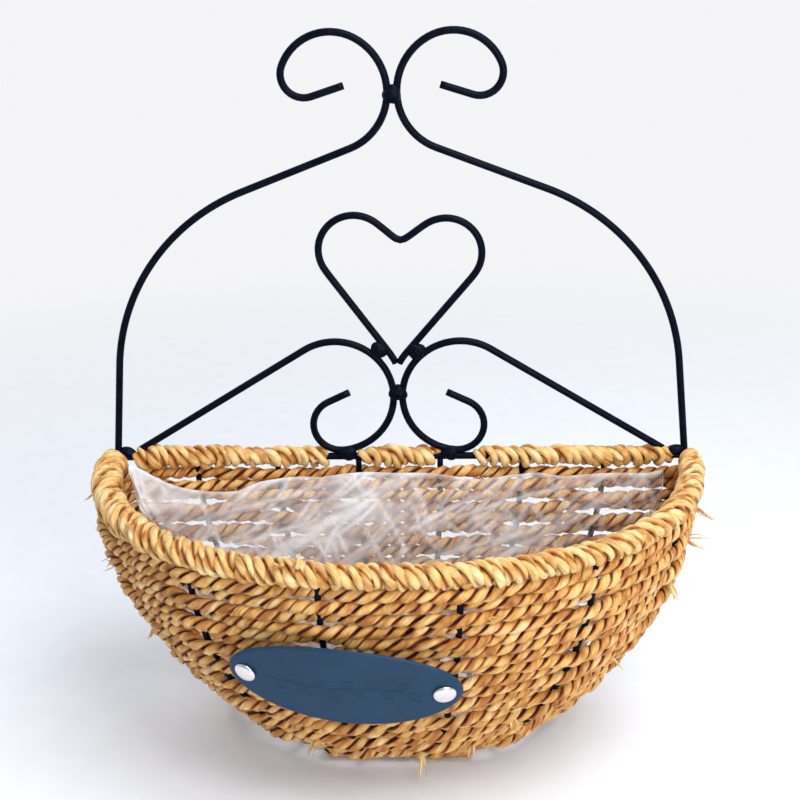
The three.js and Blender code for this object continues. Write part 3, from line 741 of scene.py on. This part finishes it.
def base_row_path(row):
    """A row's path over and under the ribs that it reaches."""
    clear = ROPE / 2 + RIB_WIRE / 2 + 1
    y = FIRST_ROW_Y - row * ROW_PITCH
    reach = base_half_width(y) - ROW_END_MARGIN
    fronts = [bowl_point(angle, -BOWL_HEIGHT) for angle in RIB_ANGLES]
    crossings = []
    for i, front in enumerate(fronts):
        back_x = back_rib_x(i, -BOWL_HEIGHT)
        crossings.append(back_x + (front[0] - back_x) * y / front[1])
    crossed = [x for x in crossings if abs(x) < reach - clear]
    beyond = [x for x in crossings if x > reach - clear]
    end = min([reach] + [x - clear for x in beyond])
    stops = [(-end, 0)]
    for i, x in enumerate(crossed):
        stops.append((x, 1 if (row + i) % 2 else -1))
    stops.append((end, 0))
    x = np.linspace(-end, end, 160)
    places = [stop[0] for stop in stops]
    i = np.clip(np.searchsorted(places, x, side="right") - 1, 0, len(stops) - 2)
    low, high = np.array(places)[i], np.array(places)[i + 1]
    share = (1 - np.cos((x - low) / (high - low) * math.pi)) / 2
    sides = np.array([stop[1] for stop in stops])
    side = sides[i] * (1 - share) + sides[i + 1] * share
    return stack(x, y, -BOWL_HEIGHT - BASE_SAG + side * BASE_SWING)


def add_base_rows():
    for row in range(BASE_ROWS):
        rng = np.random.default_rng(200 + row)
        shape = Shape()
        rope(shape, rng, base_row_path(row), -UP, size=BASE_ROPE_SIZE)
        shape.finish(f"base_row_{row + 1}", ROPE_LEAF, "frame", [f"base_rope_row_{row + 1}"])


# ---------------------------------------------------------------- bindings
FULL_SIZE_PITCH = 5.2  # the leaf has size 1 when wound at this pitch, and its size follows the pitch
THICKER_LEFT = 0.25  # the binding's share of extra radius at the left corner
THICKER_FROM_X = 80  # measured to the left
THICKER_OVER_X = 50
WHIPPING_END_LENGTH = 6  # over this length the turns come down towards the wire
WHIPPING_END_SIZE = 0.72  # share of its radius at the very end, and what it gains further in
WHIPPING_GROWTH = 0.28


def whipping(shape, rng, path, towards, radius, pitch, tilt):
    """Loosely twisted leaf wound round a wire in chunky turns that lie at a tilt."""
    line, along, length = resample(path, 1.0)
    _, across, other = directions(line, towards)
    turns = length / pitch
    angle = np.linspace(0, 2 * math.pi * turns, int(turns * 30))
    place = angle / (2 * math.pi) * pitch
    lift = 0.7 * wander(rng, angle, spacing=3.5) + 0.3 * wander(rng, angle, spacing=40)
    settle = np.clip(np.minimum(place, length - place) / WHIPPING_END_LENGTH, 0, 1)
    place = place + (tilt * np.sin(angle) + 0.6 * wander(rng, angle, spacing=5)) * settle
    place = np.clip(place, 0, length)
    x = interpolate(place, along, line)[:, 0]
    leftness = np.clip(-x / THICKER_OVER_X - THICKER_FROM_X / THICKER_OVER_X, 0, 1)
    thick = 1 + THICKER_LEFT * leftness
    end_size = WHIPPING_END_SIZE + WHIPPING_GROWTH * settle
    out = (radius * thick - STRAND_HALF_DEPTH + lift) * end_size
    centre, side, up = (interpolate(place, along, values) for values in (line, across, other))
    ray = np.cos(angle)[:, None] * side + np.sin(angle)[:, None] * up
    wound = centre + out[:, None] * ray
    rope(shape, rng, wound, ray, size=pitch / FULL_SIZE_PITCH, pitch=WHIPPING_TWIST)


def add_bindings():
    ring = ring_path(start_y=RIM_WHIPPING_START_Y)
    shape = Shape()
    rng = np.random.default_rng(301)
    whipping(shape, rng, ring, UP, RIM_BINDING_RADIUS - 0.5, pitch=4.6, tilt=1.2)
    shape.finish("rim_whipping", BINDING_LEAF, "frame", ["front_rim_binding"])
    for i, (name, (start, end)) in enumerate(RAIL_WHIPPINGS.items()):
        shape = Shape()
        rng = np.random.default_rng(310 + i)
        rail = rail_path(start, end)
        whipping(shape, rng, rail, UP, RAIL_BINDING_RADIUS - 0.4, pitch=5.2, tilt=2.0)
        shape.finish(name + "_rail_whipping", BINDING_LEAF, "frame", [name + "_rail_binding"])


# ---------------------------------------------------------------- stray leaf ends
STRAW_CURL = 0.6
STRAW_TAPER = 0.75  # share of its width that a straw has lost at its tip
STRAW_FLATNESS = 0.3
STRAW_UV = (0.4, 0.2)  # the middle of a strand's V, where the painted shade doesn't darken the leaf


def straw(shape, rng, start, end, sag, width=0.8):
    """A thin dry strip that curves from start to end."""
    share = np.linspace(0, 1, 16)[:, None]
    start, end = np.array(start, float), np.array(end, float)
    curl = rng.normal(0, 1, 3) * STRAW_CURL
    path = start + (end - start) * share + (sag * np.sin(share * math.pi)) * np.array([0, 0, -1])
    path = path + curl * np.sin(share * math.pi * 1.5)
    _, across, other = directions(path, UP + [0.1, 0.2, 0])
    thin = (1 - STRAW_TAPER * share) * width
    angle = np.linspace(0, 2 * math.pi, 6, endpoint=False)
    across = (np.cos(angle) * STRAW_FLATNESS)[None, :, None] * across[:, None, :] * thin[:, None]
    other = np.sin(angle)[None, :, None] * other[:, None, :] * thin[:, None]
    points = path[:, None, :] + across + other
    uv_start = rng.uniform(0, 9)
    shape.grid(points, wrap_columns=True, caps=True, uv_start=uv_start, uv_across=STRAW_UV)


# Frayed ends that stand out from the weave: angle round the bowl in degrees from its front,
# height, length, and how far the end leans up.
FRAYS = [
    (-16, 2, 10, 1.2),
    (-19, 1, 12, 0.9),
    (-76, -8, 11, 0.1),
    (-70, -34, 9, -0.5),
    (-58, -58, 8, -0.3),
    (76, -14, 12, -0.4),
    (72, -26, 13, 0.2),
    (66, -44, 10, -0.6),
    (52, -72, 8, -0.2),
    (18, -22, 8, 0.5),
    (-34, -48, 8, 0.4),
    (30, -96, 8, -0.3),
    (8, -122, 13, -0.9),
    (-24, -112, 9, -0.4),
    (24, -117, 10, -0.5),
]


def add_frays():
    """Stray fibres: each fray is a few strips that leave the rope together."""
    rng = np.random.default_rng(330)
    shape = Shape()
    for degrees, z, length, lean in FRAYS:
        angle = math.radians(degrees)
        root = bowl_point(angle, z, 1.5)
        out = unit(bowl_normal(angle, z) + lean * UP)
        sideways = np.cross(out, UP)
        for _ in range(rng.integers(2, 5)):
            tip = root + length * unit(out + rng.normal(0, 0.5) * sideways + rng.normal(0, 0.25) * UP)
            tip[2] = max(tip[2], -BOWL_HEIGHT - ROPE)
            straw(shape, rng, root, tip, rng.uniform(-1.5, 1.5), rng.uniform(0.8, 1.7))
    shape.finish("stray_fibres", BINDING_LEAF, "frame")


# ---------------------------------------------------------------- liner
LINER_FRONT_SHARE = 0.62  # of the way round, the rest being the straight back
FLAP_HALF_WIDTH = 0.022  # of the fold that stands up, as a share of the way round
FLAP_RISE = 3.5
DIP_SHARE = 0.68  # where, round the film, its edge hangs lowest
DIP_HALF_WIDTH = 0.05
DIP_DEPTH = 9
PLEAT_WIDTHS = (24, 60)
# Painted highlight along the film's creases.
CREASE_HIGHLIGHT = 0.45
FACET_WHITENESS = 0.3


def liner_outline(z, inset, share):
    """Points round the liner at heights z; share runs from 0 to 1, the bowed front first."""
    slope = 2 * BOWL_TAPER * z * RIM_DEPTH / BOWL_HEIGHT**2
    inward = inset * np.hypot(1, slope)
    corner = math.pi / 2
    for _ in range(4):
        corner = np.arccos(inset / (rim_radius(corner) * taper(z) - inward))
    front = np.clip(share / LINER_FRONT_SHARE, 0, 1)
    angle = corner * (1 - 2 * front)
    radius = rim_radius(angle) * taper(z) - inward
    x, y = radius * np.sin(angle), -radius * np.cos(angle)
    back = np.clip((share - LINER_FRONT_SHARE) / (1 - LINER_FRONT_SHARE), 0, 1)
    end_radius = rim_radius(corner) * taper(z) - inward
    back_x = end_radius * np.sin(corner) * (2 * back - 1)
    x = np.where(share > LINER_FRONT_SHARE, back_x, x)
    y = np.where(share > LINER_FRONT_SHARE, -inset, y)
    return stack(x, y, z)


def crumple(points, rng, folds, size):
    """Pleats in random directions: their heights, and how white the film is at each point.

    The creases get a painted highlight, and each facet between them has its own haze.
    """
    height = np.zeros(points.shape[:-1])
    whiteness_and_highlight = np.zeros(points.shape[:-1])
    haze = np.zeros(points.shape[:-1])
    for _ in range(folds):
        direction = unit(rng.normal(0, 1, 3))
        width = rng.uniform(*PLEAT_WIDTHS)
        place = points @ direction / width + rng.uniform(0, 1)
        from_middle = np.abs(place - np.floor(place) - 0.5)
        height += size * (from_middle * 4 - 1)
        to_crease = np.minimum(from_middle, 0.5 - from_middle) * width
        faint = 0.5 + 0.5 * np.sin(points @ unit(rng.normal(0, 1, 3)) / 9)
        # Painted highlight: the film turns white along each crease.
        whiteness_and_highlight = np.maximum(whiteness_and_highlight, faint * np.exp(-((to_crease / CREASE_WIDTH) ** 2)))
        haze += np.sin(FACET_JUMBLE * np.floor(2 * place))
    return height, CREASE_HIGHLIGHT * whiteness_and_highlight + FACET_WHITENESS * np.clip(haze / folds * 2, 0, 1)


def film_edge(share, flap):
    """Height of the film's wavy top edge, which rises where the flap stands up."""
    dip = DIP_DEPTH * np.exp(-(((share - DIP_SHARE) / DIP_HALF_WIDTH) ** 2)) + 1.4 * np.sin(share * 23)
    dip = dip + 2.2 * np.abs(np.sin(share * 31)) - 1.6 * np.abs(np.sin(share * 53 + 1))
    return LINER_TOP_Z - np.clip(dip, -2, 12) * (1 - flap) + FLAP_RISE * flap


def add_liner():
    """The film: crumpled walls from the edge down, then a crumpled floor in to the middle."""
    rng = np.random.default_rng(400)
    share = np.linspace(0, 1, 400, endpoint=False)[None, :]
    down = np.linspace(0, 1, 110)[:, None]
    flap = np.exp(-(((share - FLAP_SHARE) / FLAP_HALF_WIDTH) ** 2))
    top = film_edge(share, flap)
    z = top + (LINER_FLOOR_Z - top) * down
    inset = LINER_INSET + 3.5 - 5.5 * flap * np.clip(1 - 4 * down, 0, 1)
    wall = liner_outline(z, inset, share)
    centre = np.array([0, -45.0, 0])
    inward = unit((centre - wall) * [1, 1, 0])
    push, wall_white = crumple(wall, rng, 8, 1.0)
    below_edge = np.sin(np.clip(down * 4, 0, 1) * math.pi / 2)
    push = np.clip(push, -3.2, 6) * (0.45 + 0.55 * below_edge)
    wall = wall + (push * (1 - 0.8 * flap))[:, :, None] * inward
    hem = np.exp(-((down * (LINER_TOP_Z - LINER_FLOOR_Z) / HEM_WIDTH) ** 2))
    whiteness = wall_white + 0.4 * hem + 0.35 * flap * np.clip(1 - 5 * down, 0, 1)
    floor_share = np.linspace(0, 0.98, 30)[:, None, None]
    floor = wall[-1][None] * (1 - floor_share) + (centre + [0, 0, LINER_FLOOR_Z]) * floor_share
    ripple, floor_white = crumple(floor, rng, 5, 0.3)
    floor = floor + ripple[:, :, None] * UP
    shape = Shape()
    shape.grid(np.concatenate([wall, floor[1:]])[::-1], wrap_columns=True)
    liner = shape.finish("film_liner", FILM, "liner", ["liner"])
    whiteness = np.concatenate([whiteness, floor_white[1:]])[::-1]
    # Stored whiteness, with the painted crease highlights included.
    whiteness_and_highlight = liner.data.attributes.new("whiteness_and_highlight", "FLOAT", "POINT")
    whiteness_and_highlight.data.foreach_set("value", whiteness.ravel().astype(np.float32))
    return liner


# Each straw's two ends.
LINER_STRAWS = [
    ((-128, -18, -19), (-98, -19, -17)),
    ((-92, -20, -15), (-50, -21, -18)),
    ((-24, -21, -15), (26, -21, -17)),
    ((80, -20, -12), (121, -20, -24)),
    ((84, -19, -9), (103, -16, -1)),
    ((90, -20, -12), (99, -17, 2)),
]


def add_liner_straws():
    """Dry strips that have come off the rope and lie on the film."""
    rng = np.random.default_rng(410)
    shape = Shape()
    for start, end in LINER_STRAWS:
        straw(shape, rng, start, end, rng.uniform(-1, 2), 0.6)
    return shape.finish("liner_straws", BINDING_LEAF, "liner")


# ---------------------------------------------------------------- plaque and rivets
def rivet_seat(angle, below, outside):
    z = (course_z(below) + course_z(below + 1)) / 2
    return bowl_point(angle, z, outside), bowl_normal(angle, z)


def plaque_place():
    """The plate's middle and its three directions: along, into the bowl, up."""
    (a, a_out), (b, b_out) = (rivet_seat(*seat, PLAQUE_STANDOFF) for seat in RIVETS.values())
    across = b - a
    half = np.linalg.norm(across) / 2
    sagitta = PLAQUE_BEND_RADIUS - math.sqrt(PLAQUE_BEND_RADIUS**2 - half**2)
    x = unit(across)
    out = a_out + b_out
    out = unit(out - out.dot(x) * x)
    return (a + b) / 2 + out * sagitta, x, -out, np.cross(x, -out)


def leaf_outline(x, z, at, lean, length, width):
    """Distances to the edge and to the middle vein of an almond leaf that starts at a point."""
    along = (x - at[0]) * math.cos(lean) + (z - at[1]) * math.sin(lean)
    across = -(x - at[0]) * math.sin(lean) + (z - at[1]) * math.cos(lean)
    share = np.clip(along / length, 0, 1)
    edge = np.abs(across) - width * np.sin(share * math.pi) ** 0.8
    beyond = np.maximum(0, np.maximum(-along, along - length))
    return np.hypot(edge, 2 * beyond), np.hypot(across, 3 * beyond)


SPRIG_HALF_LENGTH = 35
SPRIG_LEAVES = 11
FIRST_LEAF_X = -32
LEAF_SPACING = 6
LEAF_LEAN = math.radians(48)
LEAF_LENGTH = 8.2
LEAF_HALF_WIDTH = 1.7
STEM_WAVE = 1.3
STEM_WAVE_LENGTH = 9  # for each radian
STEM_WIDTH = 0.35
EDGE_WIDTH = 0.32
VEIN_WIDTH = 0.22
VEIN_DEPTH = 0.6  # as a share of SPRIG_DEPTH
SPRIG_DEPTH = 0.42


def pressed_sprig(x, z):
    """Depth of a generic leafy sprig pressed into the plate."""
    stem_z = STEM_WAVE * np.sin(x / STEM_WAVE_LENGTH)
    groove = np.exp(-(((z - stem_z) / STEM_WIDTH) ** 2)) * (np.abs(x) < SPRIG_HALF_LENGTH)
    for i in range(SPRIG_LEAVES):
        at_x = FIRST_LEAF_X + i * LEAF_SPACING
        at = (at_x, STEM_WAVE * math.sin(at_x / STEM_WAVE_LENGTH))
        lean = (1 if i % 2 else -1) * LEAF_LEAN
        edge, vein = leaf_outline(x, z, at, lean, LEAF_LENGTH, LEAF_HALF_WIDTH)
        groove = np.maximum(groove, np.exp(-((edge / EDGE_WIDTH) ** 2)))
        groove = np.maximum(groove, VEIN_DEPTH * np.exp(-((vein / VEIN_WIDTH) ** 2)))
    return SPRIG_DEPTH * groove


PLATE_REACH = 0.97  # of a quarter turn, so that the plate's end rows aren't points
ROUNDED_FROM = 0.955  # share of the way out where the plate's edge starts to round off
ROUNDED_OVER = 0.045
FACE_ROUNDING = 0.55  # share of the thickness
BACK_ROUNDING = 0.3


def add_plaque():
    middle, x_axis, y_axis, z_axis = plaque_place()
    share = np.sin(np.linspace(-PLATE_REACH, PLATE_REACH, 300) * math.pi / 2)[:, None]
    up = np.linspace(-1, 1, 110)[None, :]
    half = PLAQUE_HEIGHT / 2 * np.sqrt(1 - share**2)
    x, z = share * PLAQUE_LENGTH / 2 + 0 * up, half * up
    rim = np.sqrt(share**2 + (1 - share**2) * up**2)
    rounding = np.clip((rim - ROUNDED_FROM) / ROUNDED_OVER, 0, 1) ** 2
    face = PLAQUE_THICKNESS * (1 - FACE_ROUNDING * rounding) - pressed_sprig(x, z)
    back = BACK_ROUNDING * rounding
    turn = x / PLAQUE_BEND_RADIUS

    def placed(height):
        radius = PLAQUE_BEND_RADIUS + height
        local_x = radius * np.sin(turn)
        local_y = PLAQUE_BEND_RADIUS - radius * np.cos(turn)
        return (
            middle
            + local_x[..., None] * x_axis
            + local_y[..., None] * y_axis
            + z[..., None] * z_axis
        )

    shape = Shape()
    outline = np.concatenate([placed(face), placed(back)[:, ::-1]], axis=1)
    shape.grid(outline, wrap_columns=True, caps=True)
    shape.finish("oval_plaque", SLATE, "frame", ["plaque"])


def turned(name, node, profile, side, sides=40):
    """A solid of revolution round a rivet's axis, from (radius, height) pairs."""
    angle = np.linspace(0, 2 * math.pi, sides, endpoint=False)
    point, normal = rivet_seat(*RIVETS[side], 0)
    x = unit(np.cross(UP, normal))
    y = np.cross(normal, x)
    rings = [
        point + height * normal + radius * (np.cos(angle)[:, None] * x + np.sin(angle)[:, None] * y)
        for radius, height in profile
    ]
    shape = Shape()
    shape.grid(np.array(rings), wrap_columns=True, caps=True)
    shape.finish(name, NICKEL, "frame", [node])


CAP_RADIUS = 5.1
CAP_DOME = 1.75
CAP_TIP = 2.3
SHANK_RADIUS = 0.8
WASHER_THICKNESS = 0.8
WASHER_RADIUS = 4
WASHER_HOLE_RADIUS = 1.0


def add_rivets():
    """Domed caps on shanks that end in washers inside the bowl; profiles are (radius, height)."""
    seat = PLAQUE_STANDOFF + PLAQUE_THICKNESS + 0.15
    inside = -(WEAVE + ROPE / 2 + 0.3)
    shank = [(SHANK_RADIUS, inside - WASHER_THICKNESS), (SHANK_RADIUS, seat - 0.2)]
    cap_edge = [(4.7, seat - 0.1), (5.05, seat + 0.15), (5.15, seat + 0.5)]
    dome = [
        (CAP_RADIUS * math.cos(t), seat + 0.55 + CAP_DOME * math.sin(t))
        for t in np.linspace(0.15, 1.5, 12)
    ]
    cap = shank + cap_edge + dome + [(0.02, seat + CAP_TIP)]
    washer = [
        (WASHER_HOLE_RADIUS, inside - WASHER_THICKNESS),
        (3.8, inside - WASHER_THICKNESS),
        (WASHER_RADIUS, inside - 0.6),
        (WASHER_RADIUS, inside - 0.2),
        (3.8, inside),
        (WASHER_HOLE_RADIUS, inside),
    ]
    for side in RIVETS:
        turned(side + "_rivet_cap", side + "_rivet", cap, side)
        turned(side + "_washer", side + "_rivet_washer", washer, side)


# ---------------------------------------------------------------- stage
# The camera's places are in metres in the part's own frame.
CAMERA_AT = Vector((0.02913, -0.68069, 0.10776))
CAMERA_AIM = Vector((0.00094, 0, -0.14020))
CAMERA_LENS = 64.81
CAMERA_ROLL = math.radians(-1.152)


def add_camera():
    camera = bpy.data.objects.new("camera", bpy.data.cameras.new("camera"))
    camera.data.sensor_width = 36
    camera.data.lens = CAMERA_LENS
    camera.data.clip_start = 0.01
    ahead = (CAMERA_AIM - CAMERA_AT).normalized()
    level = ahead.cross(Vector((0, 0, 1))).normalized()
    upright = level.cross(ahead)
    right = level * math.cos(CAMERA_ROLL) + upright * math.sin(CAMERA_ROLL)
    up = upright * math.cos(CAMERA_ROLL) - level * math.sin(CAMERA_ROLL)
    turn = Matrix((right, up, -ahead)).transposed().to_4x4()
    camera.matrix_world = Matrix.Translation(CAMERA_AT) @ turn
    bpy.context.scene.collection.objects.link(camera)
    bpy.context.scene.camera = camera


def add_area_light(name, at, size, power):
    light = bpy.data.lights.new(name, "AREA")
    light.size = size
    light.energy = power
    lamp = bpy.data.objects.new(name, light)
    lamp.location = at
    aim = Vector((0, -0.06, -0.2)) - lamp.location
    lamp.rotation_mode = "QUATERNION"
    lamp.rotation_quaternion = aim.to_track_quat("-Z", "Y")
    bpy.context.scene.collection.objects.link(lamp)


def floor_material():
    """Pale floor that fades out into the backdrop's colour far from the basket."""
    material, nodes, links = new_material("floor")
    shader = nodes["Principled BSDF"]
    coordinate = nodes.new("ShaderNodeTexCoord").outputs["Object"]
    speckle = stretched_noise(nodes, links, coordinate, (1, 1, 1), 60)
    tone = ramp(nodes, links, speckle, [(0.3, (0.83, 0.86, 0.9)), (0.7, (0.86, 0.885, 0.92))])
    links.new(tone, shader.inputs["Base Color"])
    length = nodes.new("ShaderNodeVectorMath")
    length.operation = "LENGTH"
    links.new(coordinate, length.inputs[0])
    fade = ramp(nodes, links, length.outputs["Value"], [(0.35, (1, 1, 1)), (0.9, (0, 0, 0))])
    links.new(fade, shader.inputs["Alpha"])
    set_values(shader, Roughness=0.6, Specular_IOR_Level=0.2)
    return material


def add_studio():
    """A bright backdrop behind the basket, a dimmer room in front of it, and two soft lamps."""
    world = bpy.data.worlds.new("studio")
    world.use_nodes = True
    nodes, links = world.node_tree.nodes, world.node_tree.links
    split = nodes.new("ShaderNodeSeparateXYZ")
    links.new(nodes.new("ShaderNodeTexCoord").outputs["Generated"], split.inputs["Vector"])
    shade = nodes.new("ShaderNodeMapRange")
    shade.inputs["From Min"].default_value = -0.3
    shade.inputs["From Max"].default_value = 0.4
    links.new(split.outputs["Y"], shade.inputs["Value"])
    room = ramp(nodes, links, shade.outputs["Result"], [(0, (0.43, 0.47, 0.54)), (1, (0.91, 0.91, 0.93))])
    links.new(room, nodes["Background"].inputs["Color"])
    bpy.context.scene.world = world
    add_area_light("key", at=(0.42, -0.55, 0.9), size=0.75, power=12)
    add_area_light("fill", at=(0.45, -0.95, 0.15), size=0.5, power=5)


def add_stage(floor_z):
    """The floor, which the lowest point stands on, and the studio round it."""
    mesh = bpy.data.meshes.new("floor")
    corners = [(-1, -1, 0), (1, -1, 0), (1, 1, 0), (-1, 1, 0)]
    mesh.from_pydata(corners, [], [(0, 1, 2, 3)])
    mesh.materials.append(floor_material())
    floor = bpy.data.objects.new("floor", mesh)
    floor.location = (0, 0, floor_z)
    bpy.context.scene.collection.objects.link(floor)
    floor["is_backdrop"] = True
    add_studio()
    bpy.context.scene.view_settings.view_transform = "Standard"


# ---------------------------------------------------------------- assembly
add_camera()
add_frame()
for seed, (weld, (weld_at, weld_size)) in enumerate(WELDS.items()):
    add_weld(weld, weld_at, weld_size, seed)
add_ribs()
add_courses()
add_base_rows()
add_bindings()
add_frays()
add_plaque()
add_rivets()
liner = add_liner()
straws = add_liner_straws()
add_stage(min(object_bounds()[0].z, cad_low.z))
